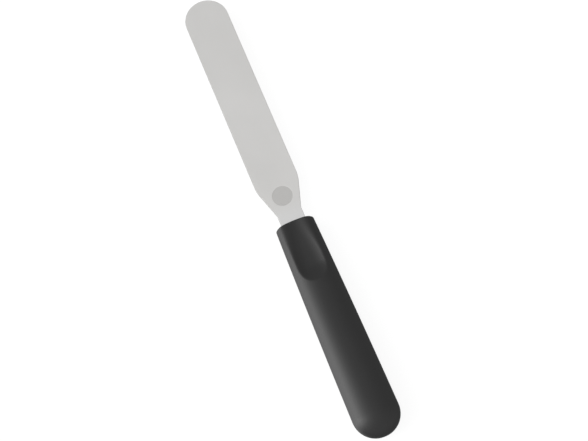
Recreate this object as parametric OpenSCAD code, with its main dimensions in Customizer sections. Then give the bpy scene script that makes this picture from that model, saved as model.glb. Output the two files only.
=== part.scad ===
// Straight icing spatula: a flexible steel blade whose tang is moulded into a
// rigid core, with a one-piece grip moulded over the core.
// +X points from the handle to the blade's tip, +Y is across, +Z is up.
// The origin is midway along the tool, on its centre plane, at table height.

/* [Overall] */
// Length from the blade's tip to the butt of the handle
total_length = 228.6; // [215:0.1:245]
// Length of the handle
handle_length = 107.5; // [100:0.1:115]

/* [Blade] */
// Width of the parallel blade, whose tip is a half circle
blade_width = 20.85; // [18:0.05:22]
// Thickness of the steel sheet, kept on the tang
sheet_thickness = 1; // [0.9:0.05:1.2]
// Metal ground off each face of the exposed blade
grind_depth = 0.05; // [0.02:0.01:0.1]
// Width of the neck at the handle
neck_width = 11.8; // [11:0.1:13]
// Length of the parallel neck in front of the handle
neck_length = 5.7; // [3:0.1:8]
// Angle between each tapered side and the centre line
taper_angle = 17; // [14:0.5:22]
// Radius of the shoulder where the taper meets the blade's side
shoulder_radius = 15; // [6:0.5:18]
// Radius of the hollow corner where the neck meets the taper
neck_radius = 3; // [1:0.5:5]

/* [Etched spot] */
// Diameter of the plain matt spot on the top face
spot_diameter = 9.85; // [8:0.05:10.5]
// Distance from the handle to the middle of the spot
spot_position = 14; // [13:0.1:16]
// Depth of the etching
spot_depth = 0.02; // [0.02:0.01:0.06]

/* [Tang] */
// Length of the tang behind the core's front end
tang_length = 64; // [50:1:75]
// Width of the tang, narrower than the neck so that the neck has a stop
tang_width = 10; // [8:0.1:10.5]
// Diameter of the holes that the core's plastic fills
lock_hole_diameter = 4.5; // [3:0.1:5.5]
// Distance between neighbouring lock holes
lock_hole_pitch = 22; // [16:0.5:26]
// Number of lock holes
lock_holes = 3; // [1:1:3]

/* [Handle core] */
// Distance from the front of the handle to the core
core_inset = 2.5; // [2:0.1:4]
// Length of the core
core_length = 92; // [85:1:95]
// Width of the core
core_width = 14; // [13.2:0.1:14.5]
// Height of the core behind the thumb rest
core_height = 9; // [7:0.1:9.5]
// Height of the core's shelf above the blade's middle plane, under the thumb rest
core_shelf = 1.9; // [1.5:0.1:2.1]
// Number of grooves that key the grip to the core
core_grooves = 5; // [1:1:6]

/* [Grip outside] */
// Half width of the grip at its front
front_half_width = 9.2; // [8.5:0.05:9.5]
// Half width of the grip where the round butt starts
butt_half_width = 11; // [10:0.05:12]
// How far each side swells beyond a straight taper
side_swell = 0.22; // [0:0.02:0.6]
// Height of the grip's front above the blade's middle plane
front_rise = 5.8; // [5.6:0.05:6.2]
// Depth of the grip's front below the blade's middle plane
front_drop = 6.2; // [5.4:0.05:6.6]
// Half height of the grip where the round butt starts
butt_half_height = 7.8; // [7:0.05:8.5]
// How far the top swells beyond a straight taper
top_swell = 0.3; // [0:0.05:0.6]
// Depth lost to the flat along the underside, as a share of the belly's depth
belly_flat = 0.02; // [0.01:0.005:0.04]
// How far the sides of the crowned front end lie behind its middle
front_crown = 1.25; // [0.5:0.05:2]
// Rounding of the edge all round the front end
front_edge = 0.5; // [0.3:0.05:1]
// Squareness of the top of the section, where 2 is an ellipse
top_power = 2.2; // [2:0.05:2.6]
// Squareness of the belly of the section
belly_power = 2.4; // [2:0.05:2.8]

/* [Thumb rest] */
// Distance from the front to the back end of the hollow
rest_length = 31.1; // [29:0.1:33]
// Half width of the hollow at the front
rest_front_half_width = 5.65; // [5:0.05:6]
// Half width of the hollow at its widest
rest_back_half_width = 6.65; // [6:0.05:7]
// Length over which the hollow opens to its full width and depth
rest_open_length = 20; // [14:0.5:22]
// Length of the rounded back end
rest_end_length = 8.5; // [6:0.1:9.5]
// Depth of the hollow below the grip's own top
rest_depth = 2.7; // [1.8:0.05:2.8]
// Depth at the front as a share of the full depth
rest_front_share = 0.8; // [0.7:0.01:1]
// Depth just before the back end as a share of the full depth
rest_back_share = 0.65; // [0.5:0.01:1]
// Fullness of the hollow's cross-section at the front, where 2 is a parabola
rest_front_power = 2; // [2:0.1:3]
// Fullness of the hollow's cross-section farther back
rest_back_power = 2.5; // [2:0.1:3]
// Rounding of the side lips at the front
lip_front = 2.4; // [1:0.05:2.8]
// Rounding of the side lips farther back
lip_back = 0.8; // [0.4:0.05:1.5]
// Rounding of the lip at the back end
lip_end = 0.4; // [0.2:0.05:0.8]

/* [Hidden] */

// Levels and lengthwise positions in the tool's frame
mid_plane = butt_half_height;
handle_front = handle_length - total_length / 2;
tip_centre = total_length / 2 - blade_width / 2;
grind_start = handle_front + 0.3;
core_front = handle_front - core_inset;
core_back = core_front - core_length;
taper_length = (blade_width - neck_width) / 2 / tan(taper_angle);
neck_corner = handle_front + neck_length;
shoulder = neck_corner + taper_length;

// The core is cut down to its shelf as far back as the thumb rest needs
shelf_back = handle_front - rest_length - 4;
groove_width = 1.6;
groove_depth = 0.7;
groove_start = shelf_back - 6;
groove_pitch = (groove_start - core_back - 8) / core_grooves;

// The grip's surface is a loft through rings of points
points_round = 64;
face_rings = 3;
edge_rings = 4;
rest_rings = 34;
body_rings = 14;
butt_rings = 12;
rest_done = rest_length + 1;
butt_start = handle_length - butt_half_width;

// The front's crown flattens out over this length, and its curve has this power
crown_fade = 12;
crown_power = 1.6;

// Smooth curves have this many sides when drawn as a mesh
$fn = 96;

// ---- Outline of the blade and its tang -------------------------------------

// Keeps the part of a round corner that lies between its two tangent points
module corner_wedge(centre, radius, from_angle, to_angle) {
    intersection() {
        translate(centre) circle(r = radius);
        polygon([
            centre,
            centre + 2 * radius * [cos(from_angle), sin(from_angle)],
            centre + 2 * radius * [cos(to_angle), sin(to_angle)]
        ]);
    }
}

// Half of the exposed outline on the +Y side, from the handle to the tip
module blade_half_outline() {
    half_width = blade_width / 2;
    half_neck = neck_width / 2;
    shoulder_tangent = shoulder_radius * tan(taper_angle / 2);
    neck_tangent = neck_radius * tan(taper_angle / 2);
    along_taper = [cos(taper_angle), sin(taper_angle)];
    shoulder_on_taper = [shoulder, half_width] - shoulder_tangent * along_taper;
    shoulder_on_side = [shoulder + shoulder_tangent, half_width];
    neck_on_side = [neck_corner - neck_tangent, half_neck];
    neck_on_taper = [neck_corner, half_neck] + neck_tangent * along_taper;
    polygon([
        [core_front, 0],
        [core_front, half_neck],
        [neck_corner, half_neck],
        shoulder_on_taper,
        shoulder_on_side,
        [tip_centre, half_width],
        [tip_centre, 0]
    ]);
    corner_wedge(
        shoulder_on_side - [0, shoulder_radius],
        shoulder_radius,
        90,
        90 + taper_angle
    );
    difference() {
        polygon([[neck_corner, half_neck], neck_on_side, neck_on_taper]);
        translate(neck_on_side + [0, neck_radius]) circle(r = neck_radius);
    }
}

// The whole exposed outline, with its half-round tip
module blade_outline() {
    blade_half_outline();
    mirror([0, 1]) blade_half_outline();
    translate([tip_centre, 0]) circle(r = blade_width / 2);
}

// The tang, with a round end and the holes that lock it in the core
module tang_outline() {
    tang_end = core_front - tang_length + tang_width / 2;
    difference() {
        union() {
            translate([tang_end, -tang_width / 2]) square([core_front - tang_end, tang_width]);
            translate([tang_end, 0]) circle(r = tang_width / 2);
        }
        for (i = [0 : lock_holes - 1])
            translate([tang_end + i * lock_hole_pitch, 0]) circle(d = lock_hole_diameter);
    }
}

// A flat plate of the given thickness, centred on the blade's middle plane
module plate(thickness) {
    translate([0, 0, mid_plane - thickness / 2]) linear_extrude(thickness) children();
}

// Neck root and tang at the full thickness of the sheet, as they lie in the handle
module tang() {
    plate(sheet_thickness) {
        tang_outline();
        translate([core_front, -neck_width / 2]) square([grind_start - core_front, neck_width]);
    }
}

// ---- Shape of the core -----------------------------------------------------

// A bar with half-round sides along X, from x0 to x1
module round_sided_bar(x0, x1, width, height) {
    for (side = [-1, 1])
        translate([x0, side * (width - height) / 2, mid_plane])
            rotate([0, 90, 0]) cylinder(d = height, h = x1 - x0);
    translate([x0, (height - width) / 2, mid_plane - height / 2])
        cube([x1 - x0, width - height, height]);
}

// One groove round the bar
module core_groove(x) {
    difference() {
        translate([x, -core_width, mid_plane - core_height])
            cube([groove_width, 2 * core_width, 2 * core_height]);
        round_sided_bar(
            x - 1,
            x + groove_width + 1,
            core_width - 2 * groove_depth,
            core_height - 2 * groove_depth
        );
    }
}

// The core's outside, with no room for the tang
module core_bar() {
    difference() {
        intersection() {
            round_sided_bar(core_back, core_front, core_width, core_height);
            union() {
                translate([core_back + core_width / 2, 0, 0])
                    cylinder(d = core_width, h = 2 * mid_plane);
                translate([core_back + core_width / 2, -core_width, 0])
                    cube([core_length, 2 * core_width, 2 * mid_plane]);
            }
        }
        translate([shelf_back, -core_width, mid_plane + core_shelf])
            cube([core_length, 2 * core_width, core_height]);
        for (i = [0 : core_grooves - 1])
            core_groove(groove_start - i * groove_pitch);
    }
}

// ---- Surface of the grip ---------------------------------------------------

function clamp01(t) = max(0, min(1, t));
function swollen(front, back, swell, t) = front + (back - front) * t + 4 * swell * t * (1 - t);

// Signed power, which squares off a circle into a superellipse
function squared_off(c, power) = sign(c) * pow(abs(c), 2 / power);

// Rises from 0 to 1 with no corner at either end
function smooth_step(t) =
    let (u = clamp01(t))
    u * u * (3 - 2 * u);

// How far the surface draws in at distance s behind the front, for the rounded front edge
function front_inset(s) =
    let (near = clamp01(1 - s / front_edge))
    front_edge * (1 - sqrt(1 - near * near));

// How much the section shrinks over the round butt
function butt_scale(s) = sqrt(max(0, 1 - pow(max(0, s - butt_start) / butt_half_width, 2)));

// A half size of the section at distance s, from its values at the front and at the butt
function section_size(front, back, swell, s) =
    butt_scale(s) * swollen(front, back, swell, clamp01(s / butt_start)) - front_inset(s);

// Depth of the thumb rest below the grip's own top, with rounded lips
function rest_dip(s, y) =
    let (
        end_start = rest_length - rest_end_length,
        opened = smooth_step(s / rest_open_length),
        wide = rest_front_half_width + (rest_back_half_width - rest_front_half_width) * opened,
        power = rest_front_power + (rest_back_power - rest_front_power) * opened,
        back = max(0, s - end_start) / rest_end_length,
        inside = 1 - pow(abs(y) / wide, power) - pow(back, 2),
        side_lip = lip_front + (lip_back - lip_front) * opened,
        lip = power * (side_lip + (lip_end - side_lip) * min(1, back)) / wide,
        rounded = max(inside, 0) + pow(max(lip - abs(inside), 0), 2) / (4 * lip),
        fade = clamp01((s - rest_open_length) / (rest_length - rest_open_length)),
        share = rest_front_share + (1 - rest_front_share) * opened - (1 - rest_back_share) * fade * fade
    )
    rest_depth * rounded * share;

// How far a point at y lies behind the middle of the front, on the front face itself
function crown_depth(y) = front_crown * pow(abs(y) / front_half_width, crown_power);

// A point of the surface, at distance s behind the front and at an angle round the section
function grip_point(s, angle) =
    let (
        c = cos(angle),
        h = sin(angle),
        y = section_size(front_half_width, butt_half_width, side_swell, s)
            * squared_off(c, h > 0 ? top_power : belly_power),
        top = section_size(front_rise, butt_half_height, top_swell, s) * squared_off(h, top_power)
            - rest_dip(s, y),
        belly = section_size(front_drop, butt_half_height, 0, s)
            * max(-1, (1 + belly_flat) * squared_off(h, belly_power)),
        crown = crown_depth(y) * pow(1 - clamp01(s / crown_fade), 2)
    )
    [handle_front - s - crown, y, mid_plane + (h > 0 ? top : belly)];

// A point of the front face: the outermost ring drawn in to a share of its size
function face_point(share, angle) =
    let (edge = grip_point(0, angle), y = share * edge.y)
    [handle_front - crown_depth(y), y, mid_plane + share * (edge.z - mid_plane)];

// Distances of the rings behind the front, closer together on the edge, the rest and the butt
ring_positions = concat(
    [for (i = [0 : edge_rings - 1]) front_edge * (1 - cos(90 * i / edge_rings))],
    [for (i = [0 : rest_rings - 1]) front_edge + (rest_done - front_edge) * i / rest_rings],
    [for (i = [0 : body_rings]) rest_done + (butt_start - rest_done) * i / body_rings],
    [for (i = [1 : butt_rings - 1]) butt_start + butt_half_width * sin(90 * i / butt_rings)]
);

// The solid grip before the core and the tang are taken out of it
module grip_body() {
    rings = face_rings - 1 + len(ring_positions);
    front_pole = rings * points_round;
    back_pole = front_pole + 1;
    points = concat(
        [for (r = [1 : face_rings - 1], i = [0 : points_round - 1])
            face_point(r / face_rings, 360 * i / points_round)],
        [for (s = ring_positions, i = [0 : points_round - 1])
            grip_point(s, 360 * i / points_round)],
        [[handle_front, 0, mid_plane], [handle_front - handle_length, 0, mid_plane]]
    );
    sides = [for (r = [0 : rings - 2], i = [0 : points_round - 1])
        let (j = (i + 1) % points_round, a = r * points_round, b = a + points_round)
        each [[a + i, b + i, a + j], [a + j, b + i, b + j]]];
    front_fan = [for (i = [0 : points_round - 1]) [front_pole, i, (i + 1) % points_round]];
    last = (rings - 1) * points_round;
    back_fan = [for (i = [0 : points_round - 1])
        [back_pole, last + (i + 1) % points_round, last + i]];
    polyhedron(points, concat(sides, front_fan, back_fan));
}

// ---- Pieces ----------------------------------------------------------------

// One steel stamping: working blade, neck and tang
module blade() {
    color("lightgray")
    difference() {
        union() {
            tang();
            plate(sheet_thickness - 2 * grind_depth)
                intersection() {
                    blade_outline();
                    translate([grind_start, -blade_width])
                        square([total_length, 2 * blade_width]);
                }
        }
        translate([
            handle_front + spot_position,
            0,
            mid_plane + sheet_thickness / 2 - grind_depth - spot_depth
        ])
            cylinder(d = spot_diameter, h = 1);
    }
}

// Rigid core moulded round the tang, with posts of plastic through the tang's holes
module handle_core() {
    color("dimgray")
    difference() {
        core_bar();
        tang();
    }
}

// Black grip moulded over the core, with the thumb rest and the round butt
module handle_grip() {
    color([0.16, 0.16, 0.16])
    difference() {
        grip_body();
        core_bar();
        tang();
    }
}

blade();
handle_core();
handle_grip();
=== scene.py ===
"""Looks for the straight icing spatula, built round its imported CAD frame.

+X runs from the handle to the blade's tip, +Y is across, +Z is up, in metres.
"""

import math

import bmesh
import bpy
import numpy as np
from mathutils import Matrix, Vector


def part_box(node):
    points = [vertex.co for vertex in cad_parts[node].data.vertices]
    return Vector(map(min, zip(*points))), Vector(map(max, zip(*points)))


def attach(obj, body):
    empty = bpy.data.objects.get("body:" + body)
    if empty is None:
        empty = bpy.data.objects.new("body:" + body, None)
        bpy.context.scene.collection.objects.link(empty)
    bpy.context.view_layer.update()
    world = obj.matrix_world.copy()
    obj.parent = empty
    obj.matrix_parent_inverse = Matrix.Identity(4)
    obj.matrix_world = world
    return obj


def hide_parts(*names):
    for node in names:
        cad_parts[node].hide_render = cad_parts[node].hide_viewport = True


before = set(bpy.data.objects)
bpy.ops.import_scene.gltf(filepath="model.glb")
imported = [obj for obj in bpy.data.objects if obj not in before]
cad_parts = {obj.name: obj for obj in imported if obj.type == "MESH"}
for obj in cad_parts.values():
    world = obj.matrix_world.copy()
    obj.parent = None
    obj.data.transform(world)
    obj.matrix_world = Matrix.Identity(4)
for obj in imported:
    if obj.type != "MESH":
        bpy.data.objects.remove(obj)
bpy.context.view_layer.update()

MM = 0.001

# ---- Sizes, from the frame and from the part's own design --------------------

blade_lo, blade_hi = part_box("blade")
core_front_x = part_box("handle_core")[1].x
grip_lo, grip_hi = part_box("handle_grip")
handle_front_x = grip_hi.x
mid_plane = (blade_hi.z + blade_lo.z) / 2
handle_front_middle = Vector((handle_front_x, 0, mid_plane))

# Blade: the CAD box gives its length, width and full sheet thickness; each face is ground down
# by grind_depth in front of the handle
tip_x = blade_hi.x
tang_end_x = blade_lo.x
blade_half_width = (blade_hi.y - blade_lo.y) / 2
sheet_half = (blade_hi.z - blade_lo.z) / 2
grind_depth = 0.05 * MM
neck_half_width = 5.9 * MM
neck_length = 5.7 * MM
tang_half_width = 5.0 * MM
taper_angle = math.radians(17)
shoulder_radius = 15 * MM
neck_radius = 3 * MM
edge_radius = 0.12 * MM
lock_hole_radius = 2.25 * MM
lock_hole_pitch = 22 * MM
lock_holes = 3
spot_radius = 4.925 * MM
spot_x = handle_front_x + 14.0 * MM
spot_depth = 0.02 * MM

# Grip: the CAD box gives its length and the size of its round butt. At the front the top rises
# and the belly drops less, the sides and top swell on the way, and the end face is crowned
handle_length = grip_hi.x - grip_lo.x
butt_half_width = (grip_hi.y - grip_lo.y) / 2
butt_half_height = mid_plane - grip_lo.z
butt_start = handle_length - butt_half_width
front_half_width = 9.2 * MM
side_swell = 0.22 * MM
front_rise = 5.8 * MM
front_drop = 6.2 * MM
top_swell = 0.3 * MM
belly_flat = 0.02
front_crown = 1.25 * MM
crown_power = 1.6
crown_fade = 12 * MM
front_edge = 0.5 * MM
top_power = 2.2
belly_power = 2.4

# Thumb rest: the width and power of its outline change over rest_open_length. The front share
# of its depth grows to the whole depth there, and falls to the back share at the end. Each lip
# is half the width over which the rim is rounded
rest_length = 31.1 * MM
rest_front_half_width = 5.65 * MM
rest_back_half_width = 6.65 * MM
rest_end_length = 8.5 * MM
rest_depth = 2.7 * MM
rest_front_share = 0.8
rest_back_share = 0.65
rest_open_length = 20 * MM
rest_front_power = 2
rest_back_power = 2.5
lip_front = 2.4 * MM
lip_back = 0.8 * MM
lip_end = 0.4 * MM

# Steps in the round stretches of the blade's outline, its holes and spot, and its rounded edge
tip_steps = 40
shoulder_steps = 12
neck_steps = 6
tang_steps = 16
lock_hole_steps = 40
spot_steps = 96
edge_steps = 5

# Blade mesh: narrow bands keep the faces' shading flat, the sheet thickens from grind_end_x
# back to full_sheet_x, and faces tilted by more than cut_edge_tilt belong to the sheared edge
support_band = 0.05 * MM
spot_bevel = 0.12 * MM
grind_end_x = handle_front_x + 0.3 * MM
full_sheet_x = handle_front_x - 0.2 * MM
cut_spacing = 8 * MM
cut_edge_tilt = math.radians(20)
blade_sharp_angle = math.radians(40)
merge_distance = 0.0001 * MM
level_tolerance = 0.001 * MM

# Grip mesh: points round a section, and rings in each stretch from the front to the butt
points_around = 288
face_rings = 12
edge_rings = 10
rest_rings = 200
body_rings = 80
butt_rings = 40
rest_rings_end = rest_length + 1 * MM
grip_sharp_angle = math.radians(50)

# The range in which most of a noise's values lie
noise_middle = (0.3, 0.7)

# Colours: the darkest and the lightest tone of each material's mottling
steel_tones = (0.623, 0.617, 0.606), (0.649, 0.643, 0.632)
etched_tones = (0.447, 0.442, 0.433), (0.489, 0.484, 0.474)
cut_edge_tones = (0.20, 0.198, 0.194), (0.27, 0.267, 0.262)
grip_tones = (0.005, 0.005, 0.0051), (0.007, 0.007, 0.0071)
core_tones = (0.085, 0.085, 0.088), (0.105, 0.105, 0.108)
floor_tones = (0.12, 0.12, 0.12), (0.14, 0.14, 0.14)
floor_glow = 0.885

# Painted highlight: the steel's colour is painted lighter, to this tone, towards the handle, over this
# length
painted_highlight_tone = (0.68, 0.68, 0.68)
painted_highlight_length = 11 * MM

# Sky: strengths, and the spans of a direction's X, Y or Z over which they change. The dome is
# the sky as a whole, the flag is a shade on -Y, and the band is a light on +Y
dome_behind = 0.93
dome_ahead = 0.78
dome_change_x = (0.4, 0.8)
flag_strength = 0.28
flag_rise_x = (-0.5, 0.35)
flag_fall_y = (-0.8, 0.2)
band_strength = 4.7
band_power = 1.7
band_rise_y = (0.0, 0.85)
band_rise_x = (-0.46, 0.04)
band_fall_x = (0.1, 0.62)
share_below = 0.35
share_rise_z = (-0.6, 0.1)

# Floor
floor_half_size = 3.0
floor_cells = 8

# Softbox on +Y; it gives the floor's soft shadow a direction
softbox_offset = Vector((0.05, 0.75, 0.4))
softbox_size = (0.6, 0.5)
softbox_watts = 1.0

# Camera: tilted from straight above towards the handle's end, leaning a little to +Y, and rolled
camera_tilt = math.radians(19)
camera_lean = math.radians(2.5)
camera_roll = math.radians(22.36)
camera_distance = 0.836
camera_lens = 112.04
camera_sensor = 36
camera_target = handle_front_middle + Vector((0.93 * MM, -0.48 * MM, 0))


# ---- Node helpers -------------------------------------------------------------


def new_material(name):
    """A new material, its node tree, and the Principled shader in it."""
    material = bpy.data.materials.new(name)
    material.use_nodes = True
    shader = material.node_tree.nodes["Principled BSDF"]
    return material, material.node_tree, shader


def node(tree, kind, **settings):
    """Adds a shader node; its settings are attributes where it has them, and inputs otherwise."""
    made = tree.nodes.new(kind)
    for name, value in settings.items():
        label = name.replace("_", " ").title()
        if hasattr(made, name):
            setattr(made, name, value)
        else:
            made.inputs[label].default_value = value
    return made


def link(tree, source, target):
    """Joins a node's output to an input."""
    tree.links.new(source, target)


def math_node(tree, operation, *values):
    """A maths node whose inputs are numbers or other nodes' outputs."""
    made = node(tree, "ShaderNodeMath", operation=operation)
    for slot, value in zip(made.inputs, values):
        if isinstance(value, (int, float)):
            slot.default_value = value
        else:
            link(tree, value, slot)
    return made.outputs["Value"]


def remap(tree, source, low, high, span, kind="LINEAR"):
    """Moves a value from low to high while its source crosses a span, and holds it outside."""
    start, end = span
    made = node(
        tree,
        "ShaderNodeMapRange",
        interpolation_type=kind,
        from_min=start,
        from_max=end,
        to_min=low,
        to_max=high,
    )
    link(tree, source, made.inputs["Value"])
    return made.outputs["Result"]


def mixed(tree, factor, first, second):
    """A colour that a factor moves from the first to the second; both are tones or outputs."""
    made = node(tree, "ShaderNodeMix", data_type="RGBA")
    link(tree, factor, made.inputs["Factor"])
    for label, colour in (("A", first), ("B", second)):
        if isinstance(colour, tuple):
            made.inputs[label].default_value = (*colour, 1)
        else:
            link(tree, colour, made.inputs[label])
    return made.outputs["Result"]


# ---- Textures -------------------------------------------------------------------


def stretched_noise(tree, scale, stretch, detail):
    """Noise over the object's own space, stretched along each axis by a factor."""
    place = node(tree, "ShaderNodeTexCoord")
    mapping = node(tree, "ShaderNodeMapping")
    mapping.inputs["Scale"].default_value = [1 / s for s in stretch]
    noise = node(tree, "ShaderNodeTexNoise", scale=scale, detail=detail)
    link(tree, place.outputs["Object"], mapping.inputs["Vector"])
    link(tree, mapping.outputs["Vector"], noise.inputs["Vector"])
    return noise


def varied(tree, noise, low, high):
    """A value between low and high, moved by the middle range of a noise."""
    return remap(tree, noise.outputs["Fac"], low, high, noise_middle)


def mottled(tree, noise, tones):
    """A colour between a dark and a light tone, moved by a noise."""
    return mixed(tree, varied(tree, noise, 0, 1), *tones)


def add_relief(tree, shader, noise, strength, depth):
    """Fine relief in the surface, as a bump that follows a noise."""
    bump = node(tree, "ShaderNodeBump", strength=strength, distance=depth)
    link(tree, noise.outputs["Fac"], bump.inputs["Height"])
    link(tree, bump.outputs["Normal"], shader.inputs["Normal"])


# ---- Materials ------------------------------------------------------------------


def steel_material():
    """Satin steel: fine grain along the blade, with faint cloudy handling marks, and a painted highlight
    that lightens its colour towards the handle.
    """
    material, tree, shader = new_material("satin_steel")
    grain = stretched_noise(tree, scale=5200, stretch=(60, 1, 1), detail=2.0)
    clouds = stretched_noise(tree, scale=45, stretch=(1.6, 1, 1), detail=4.0)
    place = node(tree, "ShaderNodeTexCoord")
    split = node(tree, "ShaderNodeSeparateXYZ")
    link(tree, place.outputs["Object"], split.inputs["Vector"])
    # Painted highlight: the steel's colour is mixed towards a lighter tone near the handle
    painted_highlight_span = (handle_front_x, handle_front_x + painted_highlight_length)
    painted_highlight = remap(tree, split.outputs["X"], 1, 0, painted_highlight_span)
    colour = mixed(tree, painted_highlight, mottled(tree, clouds, steel_tones), painted_highlight_tone)
    roughness = math_node(tree, "ADD", varied(tree, grain, 0.30, 0.36), varied(tree, clouds, -0.02, 0.02))
    shader.inputs["Metallic"].default_value = 1.0
    link(tree, colour, shader.inputs["Base Color"])
    link(tree, roughness, shader.inputs["Roughness"])
    add_relief(tree, shader, grain, strength=0.12, depth=0.02 * MM)
    return material


def etched_material():
    """Frosted steel of the plain etched spot: duller and a little darker."""
    material, tree, shader = new_material("etched_steel")
    frost = stretched_noise(tree, scale=3800, stretch=(1, 1, 1), detail=3.0)
    shader.inputs["Metallic"].default_value = 1.0
    link(tree, mottled(tree, frost, etched_tones), shader.inputs["Base Color"])
    link(tree, varied(tree, frost, 0.5, 0.62), shader.inputs["Roughness"])
    add_relief(tree, shader, frost, strength=0.35, depth=0.03 * MM)
    return material


def cut_edge_material():
    """Sheared edge of the sheet: coarser and duller than the ground faces."""
    material, tree, shader = new_material("cut_steel_edge")
    drag = stretched_noise(tree, scale=2600, stretch=(1, 1, 12), detail=2.0)
    shader.inputs["Metallic"].default_value = 1.0
    link(tree, mottled(tree, drag, cut_edge_tones), shader.inputs["Base Color"])
    link(tree, varied(tree, drag, 0.5, 0.6), shader.inputs["Roughness"])
    return material


def grip_material():
    """Satin black moulded plastic, with a very fine mould texture and faint rub marks."""
    material, tree, shader = new_material("satin_black_plastic")
    mould = stretched_noise(tree, scale=3200, stretch=(1, 1, 1), detail=2.0)
    rubs = stretched_noise(tree, scale=60, stretch=(2.5, 1, 1), detail=5.0)
    roughness = math_node(tree, "ADD", varied(tree, rubs, 0.42, 0.46), varied(tree, mould, -0.015, 0.015))
    shader.inputs["IOR"].default_value = 1.455
    link(tree, mottled(tree, rubs, grip_tones), shader.inputs["Base Color"])
    link(tree, roughness, shader.inputs["Roughness"])
    add_relief(tree, shader, mould, strength=0.15, depth=0.04 * MM)
    return material


def core_material():
    """Plain grey moulded plastic of the hidden core, with flow marks."""
    material, tree, shader = new_material("core_plastic")
    flow = stretched_noise(tree, scale=120, stretch=(4, 1, 1), detail=3.0)
    link(tree, mottled(tree, flow, core_tones), shader.inputs["Base Color"])
    link(tree, varied(tree, flow, 0.45, 0.55), shader.inputs["Roughness"])
    return material


def floor_material():
    """Plain pale studio floor, which glows so that it shows almost white."""
    material, tree, shader = new_material("studio_floor")
    mottle = stretched_noise(tree, scale=6, stretch=(1, 1, 1), detail=2.0)
    link(tree, mottled(tree, mottle, floor_tones), shader.inputs["Base Color"])
    shader.inputs["Roughness"].default_value = 0.9
    shader.inputs["Specular IOR Level"].default_value = 0.1
    shader.inputs["Emission Color"].default_value = (1, 1, 1, 1)
    shader.inputs["Emission Strength"].default_value = floor_glow
    return material


# ---- Object and outline helpers -------------------------------------------------


def make_object(name, data):
    """Adds an object for a mesh, a light or a camera to the scene."""
    made = bpy.data.objects.new(name, data)
    bpy.context.scene.collection.objects.link(made)
    return made


def arc(centre, radius, start, end, steps):
    """Points along a circular arc, both ends included, angles in degrees."""
    angles = np.radians(np.linspace(start, end, steps + 1))
    return [(centre[0] + radius * math.cos(a), centre[1] + radius * math.sin(a)) for a in angles]


# ---- Blade ----------------------------------------------------------------------


def blade_outline():
    """Closed outline of blade, neck and tang, counter-clockwise from the tip."""
    degrees = math.degrees(taper_angle)
    neck_corner = handle_front_x + neck_length
    shoulder = neck_corner + (blade_half_width - neck_half_width) / math.tan(taper_angle)
    shoulder_tangent = shoulder_radius * math.tan(taper_angle / 2)
    neck_tangent = neck_radius * math.tan(taper_angle / 2)
    tang_round = tang_end_x + tang_half_width
    half = arc((tip_x - blade_half_width, 0), blade_half_width, 0, 90, tip_steps)
    half += arc(
        (shoulder + shoulder_tangent, blade_half_width - shoulder_radius),
        shoulder_radius,
        90,
        90 + degrees,
        shoulder_steps,
    )
    half += arc(
        (neck_corner - neck_tangent, neck_half_width + neck_radius),
        neck_radius,
        degrees - 90,
        -90,
        neck_steps,
    )
    half += [(core_front_x, neck_half_width), (core_front_x, tang_half_width)]
    half += arc((tang_round, 0), tang_half_width, 90, 180, tang_steps)
    mirrored = [(x, -y) for x, y in reversed(half[1:-1])]
    return half + mirrored


def inset(points, distance):
    """Moves a counter-clockwise outline inwards by a distance, mitred at its corners."""
    loop = np.array(points)
    ahead = np.roll(loop, -1, axis=0) - loop
    ahead /= np.linalg.norm(ahead, axis=1)[:, None]
    inward = np.stack([-ahead[:, 1], ahead[:, 0]], axis=1)
    before = np.roll(inward, 1, axis=0)
    mitre = (inward + before) / (1 + np.sum(inward * before, axis=1))[:, None]
    return loop + distance * mitre


def ring_of_verts(bm, points, z):
    """New vertices at points of the plan, all at one height."""
    return [bm.verts.new((x, y, z)) for x, y in points]


def bridge(bm, lower, upper):
    """A band of quads between two rings of the same length."""
    count = len(lower)
    for i in range(count):
        j = (i + 1) % count
        bm.faces.new((lower[i], lower[j], upper[j], upper[i]))


def ring_edges(bm, ring):
    """The edges of a closed ring of vertices, made where they are missing."""
    edges = []
    for a, b in zip(ring, ring[1:] + ring[:1]):
        edges.append(bm.edges.get((a, b)) or bm.edges.new((a, b)))
    return edges


def fill_between(bm, rings):
    """Flat triangles inside an outer ring, round the holes in it."""
    edges = [e for ring in rings for e in ring_edges(bm, ring)]
    bmesh.ops.triangle_fill(bm, use_beauty=True, use_dissolve=False, edges=edges)


def edge_levels(half):
    """Insets and heights of the rings over the rounded edge, from its side to the flat face."""
    levels = []
    for i in range(edge_steps + 1):
        a = math.radians(90 * i / edge_steps)
        levels.append((edge_radius * (1 - math.cos(a)), half - edge_radius + edge_radius * math.sin(a)))
    levels.append((edge_radius + support_band, half))
    return levels


def add_lock_holes(bm, half):
    """Walls of the tang's lock holes. Gives the holes' upper and lower rings."""
    upper, lower = [], []
    for i in range(lock_holes):
        centre = (tang_end_x + tang_half_width + i * lock_hole_pitch, 0)
        circle = arc(centre, lock_hole_radius, 0, 360, lock_hole_steps)[:-1]
        top = ring_of_verts(bm, circle, half)
        bottom = ring_of_verts(bm, circle, -half)
        bridge(bm, top, bottom)
        upper.append(top)
        lower.append(bottom)
    return upper, lower


def add_spot(bm, half):
    """The etched spot's shallow recess, with its floor. Gives the ring round it."""
    levels = [
        (spot_radius + support_band, half),
        (spot_radius, half),
        (spot_radius - spot_bevel, half - spot_depth),
        (spot_radius - spot_bevel - support_band, half - spot_depth),
    ]
    rings = []
    for radius, z in levels:
        rings.append(ring_of_verts(bm, arc((spot_x, 0), radius, 0, 360, spot_steps)[:-1], z))
    for a, b in zip(rings, rings[1:]):
        bridge(bm, a, b)
    fill_between(bm, [rings[-1]])
    return rings[0]


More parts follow.
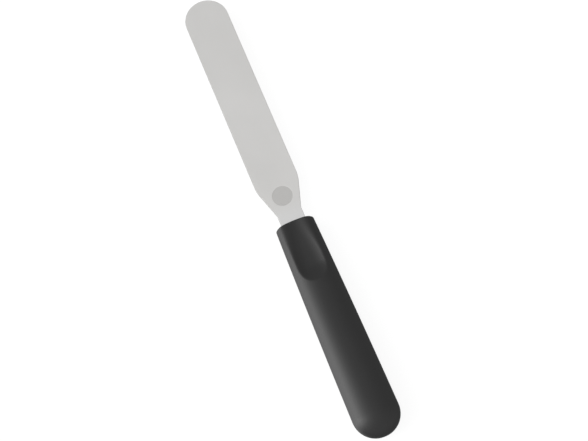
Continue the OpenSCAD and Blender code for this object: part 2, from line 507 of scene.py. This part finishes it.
def cut_across(bm):
    """Cross cuts, which keep the flat faces' triangles short and mark the end of the grinding."""
    first = tang_end_x + cut_spacing
    cuts = [grind_end_x, full_sheet_x]
    cuts += [first + i * cut_spacing for i in range(int((tip_x - first) / cut_spacing))]
    for x in cuts:
        bmesh.ops.bisect_plane(
            bm,
            geom=bm.verts[:] + bm.edges[:] + bm.faces[:],
            dist=merge_distance,
            plane_co=(x, 0, 0),
            plane_no=(1, 0, 0),
        )


def thicken_tang(bm):
    """Gives the sheet its full thickness behind the grinding, and lifts it to its level."""
    for v in bm.verts:
        share = min(1.0, max(0.0, (grind_end_x - v.co.x) / (grind_end_x - full_sheet_x)))
        v.co.z += math.copysign(grind_depth * share, v.co.z)
        v.co.z += mid_plane


def choose_materials(bm, spot_floor):
    """Marks the faces of the sheared edge and of the etched spot for their materials."""
    etched_slot, cut_edge_slot = 1, 2
    for f in bm.faces:
        f.smooth = True
        if abs(f.normal.z) < math.cos(cut_edge_tilt):
            f.material_index = cut_edge_slot
        centre = f.calc_center_median()
        on_floor = abs(centre.z - spot_floor) < level_tolerance
        if on_floor and (centre - Vector((spot_x, 0, centre.z))).length < spot_radius:
            f.material_index = etched_slot


def build_blade(steel, etched, cut_edge):
    """The whole stamping: rounded edges, etched spot, and the thicker tang with its lock holes."""
    bm = bmesh.new()
    half = sheet_half - grind_depth
    outline = blade_outline()
    levels = edge_levels(half)
    upper = [ring_of_verts(bm, inset(outline, d), z) for d, z in levels]
    lower = [ring_of_verts(bm, inset(outline, d), -z) for d, z in levels]
    for a, b in zip(upper, upper[1:]):
        bridge(bm, a, b)
    for a, b in zip(lower, lower[1:]):
        bridge(bm, b, a)
    bridge(bm, lower[0], upper[0])
    top_holes, bottom_holes = add_lock_holes(bm, half)
    spot_ring = add_spot(bm, half)
    fill_between(bm, [upper[-1], spot_ring, *top_holes])
    fill_between(bm, [lower[-1], *bottom_holes])
    cut_across(bm)
    thicken_tang(bm)
    bmesh.ops.recalc_face_normals(bm, faces=bm.faces[:])
    choose_materials(bm, half - spot_depth + mid_plane)
    mesh = bpy.data.meshes.new("spatula_blade")
    bm.to_mesh(mesh)
    bm.free()
    mesh.materials.append(steel)
    mesh.materials.append(etched)
    mesh.materials.append(cut_edge)
    mesh.set_sharp_from_angle(angle=blade_sharp_angle)
    return make_object("spatula_blade", mesh)


# ---- Grip ----------------------------------------------------------------------


def swollen(front, back, swell, t):
    """A size at share t of the way from front to back, swollen most in the middle."""
    return front + (back - front) * t + 4 * swell * t * (1 - t)


def squared_off(c, power):
    """A cosine or sine made fuller, so that a power above 2 gives a squarer section."""
    return np.sign(c) * np.abs(c) ** (2 / power)


def smooth_step(t):
    """Rises from 0 to 1 with a soft start and end."""
    t = np.clip(t, 0, 1)
    return t * t * (3 - 2 * t)


def front_inset(s):
    """How far the surface draws in at distance s behind the front, for the rounded front edge."""
    short = np.clip(1 - s / front_edge, 0, 1)
    return front_edge * (1 - np.sqrt(1 - short**2))


def butt_scale(s):
    """The share of its full size that the section keeps over the round butt."""
    return np.sqrt(np.maximum(0, 1 - (np.maximum(s - butt_start, 0) / butt_half_width) ** 2))


def rest_dip(s, y):
    """Depth of the thumb rest below the grip's own top, with rounded lips."""
    end_start = rest_length - rest_end_length
    opened = smooth_step(s / rest_open_length)
    wide = rest_front_half_width + (rest_back_half_width - rest_front_half_width) * opened
    power = rest_front_power + (rest_back_power - rest_front_power) * opened
    back = np.maximum(0, s - end_start) / rest_end_length
    inside = 1 - (np.abs(y) / wide) ** power - back**2
    side_lip = lip_front + (lip_back - lip_front) * opened
    lip = power * (side_lip + (lip_end - side_lip) * np.minimum(1, back)) / wide
    rounded = np.maximum(inside, 0) + np.maximum(lip - np.abs(inside), 0) ** 2 / (4 * lip)
    fade = np.clip((s - rest_open_length) / (rest_length - rest_open_length), 0, 1)
    share = rest_front_share + (1 - rest_front_share) * opened - (1 - rest_back_share) * fade**2
    return rest_depth * rounded * share


def crown_depth(y):
    """How far a point at y lies behind the middle of the front, on the front face itself."""
    return front_crown * np.abs(y / front_half_width) ** crown_power


def grip_surface(s, angle):
    """Points of the grip at distances s behind the front and angles round the section."""
    t = np.clip(s / butt_start, 0, 1)
    scale = butt_scale(s)
    rounding = front_inset(s)
    c, h = np.cos(angle), np.sin(angle)
    power = np.where(h > 0, top_power, belly_power)
    wide = scale * swollen(front_half_width, butt_half_width, side_swell, t) - rounding
    rise = scale * swollen(front_rise, butt_half_height, top_swell, t) - rounding
    drop = scale * swollen(front_drop, butt_half_height, 0, t) - rounding
    y = wide * squared_off(c, power)
    height = squared_off(h, power)
    top = rise * height - rest_dip(s, y)
    belly = drop * np.maximum(-1, (1 + belly_flat) * height)
    z = np.where(h > 0, top, belly)
    crown = crown_depth(y) * (1 - np.clip(s / crown_fade, 0, 1)) ** 2
    return np.stack([handle_front_x - s - crown, y, mid_plane + z], axis=-1)


def front_face(edge_ring, share):
    """A ring of the front face: the outermost ring drawn in to a share of its size."""
    y = edge_ring[:, 1] * share
    z = mid_plane + (edge_ring[:, 2] - mid_plane) * share
    return np.stack([handle_front_x - crown_depth(y), y, z], axis=-1)


def grip_rings():
    """Rings of points round the grip, from the middle of its front to the end of its butt."""
    edge = front_edge * (1 - np.cos(np.pi / 2 * np.arange(edge_rings) / edge_rings))
    rest = np.linspace(front_edge, rest_rings_end, rest_rings, endpoint=False)
    body = np.linspace(rest_rings_end, butt_start, body_rings + 1)
    butt = butt_start + butt_half_width * np.sin(np.pi / 2 * np.arange(1, butt_rings) / butt_rings)
    s = np.concatenate([edge, rest, body, butt])
    angles = 2 * np.pi * np.arange(points_around) / points_around
    rings = list(grip_surface(*np.meshgrid(s, angles, indexing="ij")))
    face = [front_face(rings[0], i / face_rings) for i in range(1, face_rings)]
    return face + rings


def closed_loft(name, rings, front_pole, back_pole):
    """A closed mesh over rings of points, with a pole at each end."""
    around = len(rings[0])
    faces = []
    for r in range(len(rings) - 1):
        a, b = r * around, (r + 1) * around
        faces += [(a + i, b + i, b + (i + 1) % around, a + (i + 1) % around) for i in range(around)]
    front = len(rings) * around
    back = front + 1
    last = front - around
    faces += [(front, i, (i + 1) % around) for i in range(around)]
    faces += [(back, last + (i + 1) % around, last + i) for i in range(around)]
    mesh = bpy.data.meshes.new(name)
    mesh.from_pydata(np.vstack([*rings, front_pole, back_pole]).tolist(), [], faces)
    bm = bmesh.new()
    bm.from_mesh(mesh)
    bmesh.ops.recalc_face_normals(bm, faces=bm.faces[:])
    bm.to_mesh(mesh)
    bm.free()
    return mesh


def build_grip(plastic):
    """The outside of the grip as a fine loft, hollowed to fit the core and the tang."""
    front_pole = (handle_front_x, 0, mid_plane)
    butt_pole = (handle_front_x - handle_length, 0, mid_plane)
    mesh = closed_loft("spatula_grip", grip_rings(), front_pole, butt_pole)
    mesh.materials.append(plastic)
    grip = make_object("spatula_grip", mesh)
    hollow_out(grip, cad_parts["handle_core"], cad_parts["blade"])
    for f in grip.data.polygons:
        f.use_smooth = True
    grip.data.set_sharp_from_angle(angle=grip_sharp_angle)
    return grip


def hollow_out(piece, *inner_nodes):
    """Takes copies of CAD nodes out of a piece, and keeps the result as its mesh."""
    for inner in inner_nodes:
        tool_mesh = inner.data.copy()
        tool = make_object("cutter", tool_mesh)
        cut = piece.modifiers.new("hollow", "BOOLEAN")
        cut.operation = "DIFFERENCE"
        cut.solver = "EXACT"
        cut.object = tool
        bpy.context.view_layer.update()
        shown = piece.evaluated_get(bpy.context.evaluated_depsgraph_get())
        hollow = bpy.data.meshes.new_from_object(shown)
        piece.modifiers.clear()
        piece.data = hollow
        bpy.data.objects.remove(tool)
        bpy.data.meshes.remove(tool_mesh)
    keep_largest_island(piece.data)


def keep_largest_island(mesh):
    """Drops loose slivers, such as those between the facets of the core and of the tang."""
    bm = bmesh.new()
    bm.from_mesh(mesh)
    largest, seen = [], set()
    for start in bm.faces:
        if start in seen:
            continue
        island = [start]
        seen.add(start)
        for face in island:
            for edge in face.edges:
                fresh = [other for other in edge.link_faces if other not in seen]
                seen.update(fresh)
                island += fresh
        if len(island) > len(largest):
            largest = island
    kept = set(largest)
    bmesh.ops.delete(bm, geom=[face for face in bm.faces if face not in kept], context="FACES")
    bm.to_mesh(mesh)
    bm.free()


# ---- Studio ----------------------------------------------------------------------


def build_floor():
    """A square floor at the lowest point of the handle, left out of the tool's reflections."""
    bm = bmesh.new()
    bmesh.ops.create_grid(bm, x_segments=floor_cells, y_segments=floor_cells, size=floor_half_size)
    mesh = bpy.data.meshes.new("studio_floor")
    bm.to_mesh(mesh)
    bm.free()
    mesh.materials.append(floor_material())
    floor = make_object("studio_floor", mesh)
    floor.visible_glossy = False
    return floor


def build_world():
    """A soft white dome, with a band of light on +Y and a flag that shades -Y towards the tip.

    The dome is weaker ahead of the tool, and everything is weaker below it.
    """
    world = bpy.data.worlds.new("studio")
    bpy.context.scene.world = world
    world.use_nodes = True
    tree = world.node_tree
    direction = node(tree, "ShaderNodeTexCoord")
    split = node(tree, "ShaderNodeSeparateXYZ")
    link(tree, direction.outputs["Generated"], split.inputs["Vector"])
    x, y, z = (split.outputs[axis] for axis in "XYZ")
    whole = remap(tree, x, dome_behind, dome_ahead, dome_change_x)
    flag_y = remap(tree, y, 1.0, 0.0, flag_fall_y)
    flag_x = remap(tree, x, 0.0, flag_strength, flag_rise_x)
    dome = math_node(tree, "SUBTRACT", whole, math_node(tree, "MULTIPLY", flag_y, flag_x))
    band_y = math_node(tree, "POWER", remap(tree, y, 0.0, 1.0, band_rise_y), band_power)
    rise = remap(tree, x, 0.0, 1.0, band_rise_x, "SMOOTHSTEP")
    fall = remap(tree, x, 1.0, 0.0, band_fall_x, "SMOOTHSTEP")
    band = math_node(tree, "MULTIPLY", band_y, band_strength)
    band = math_node(tree, "MULTIPLY", band, math_node(tree, "MULTIPLY", rise, fall))
    share = remap(tree, z, share_below, 1.0, share_rise_z)
    strength = math_node(tree, "MULTIPLY", math_node(tree, "ADD", dome, band), share)
    link(tree, strength, tree.nodes["Background"].inputs["Strength"])
    tree.nodes["Background"].inputs["Color"].default_value = (1, 1, 1, 1)


def aim(thing, position, right, up, back):
    """Puts a lamp or camera at a position, facing away from the direction of its back."""
    turn = Matrix((right, up, back)).transposed().to_4x4()
    thing.matrix_world = Matrix.Translation(position) @ turn


def build_softbox():
    """A softbox that faces the middle of the handle's front and isn't seen itself."""
    light = bpy.data.lights.new("softbox", "AREA")
    light.shape = "RECTANGLE"
    light.size, light.size_y = softbox_size
    light.energy = softbox_watts
    lamp = make_object("softbox", light)
    back = softbox_offset.normalized()
    right = (Vector((1, 0, 0)) - back * back.x).normalized()
    aim(lamp, handle_front_middle + softbox_offset, right, back.cross(right), back)
    lamp.visible_camera = False


def build_camera():
    """Looks steeply down from the handle's end, rolled so that the tool lies across the picture."""
    flat = math.cos(camera_lean)
    back = Vector((-math.sin(camera_tilt) * flat, math.sin(camera_lean), math.cos(camera_tilt) * flat))
    across = (Vector((0, -1, 0)) + back * back.y).normalized()
    towards_tip = back.cross(across)
    up = towards_tip * math.cos(camera_roll) + across * math.sin(camera_roll)
    right = across * math.cos(camera_roll) - towards_tip * math.sin(camera_roll)
    data = bpy.data.cameras.new("camera")
    data.sensor_width = camera_sensor
    data.lens = camera_lens
    data.clip_start = 10 * MM
    camera = make_object("camera", data)
    aim(camera, camera_target + back * camera_distance, right, up, back)
    bpy.context.scene.camera = camera


# ---- Assembly ----------------------------------------------------------------------

blade = build_blade(steel_material(), etched_material(), cut_edge_material())
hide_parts("blade")
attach(blade, "root")

grip = build_grip(grip_material())
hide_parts("handle_grip")
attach(grip, "root")

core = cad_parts["handle_core"]
core.data.materials.clear()
core.data.materials.append(core_material())

build_floor()
build_world()
build_softbox()
build_camera()
bpy.context.scene.view_settings.view_transform = "Standard"
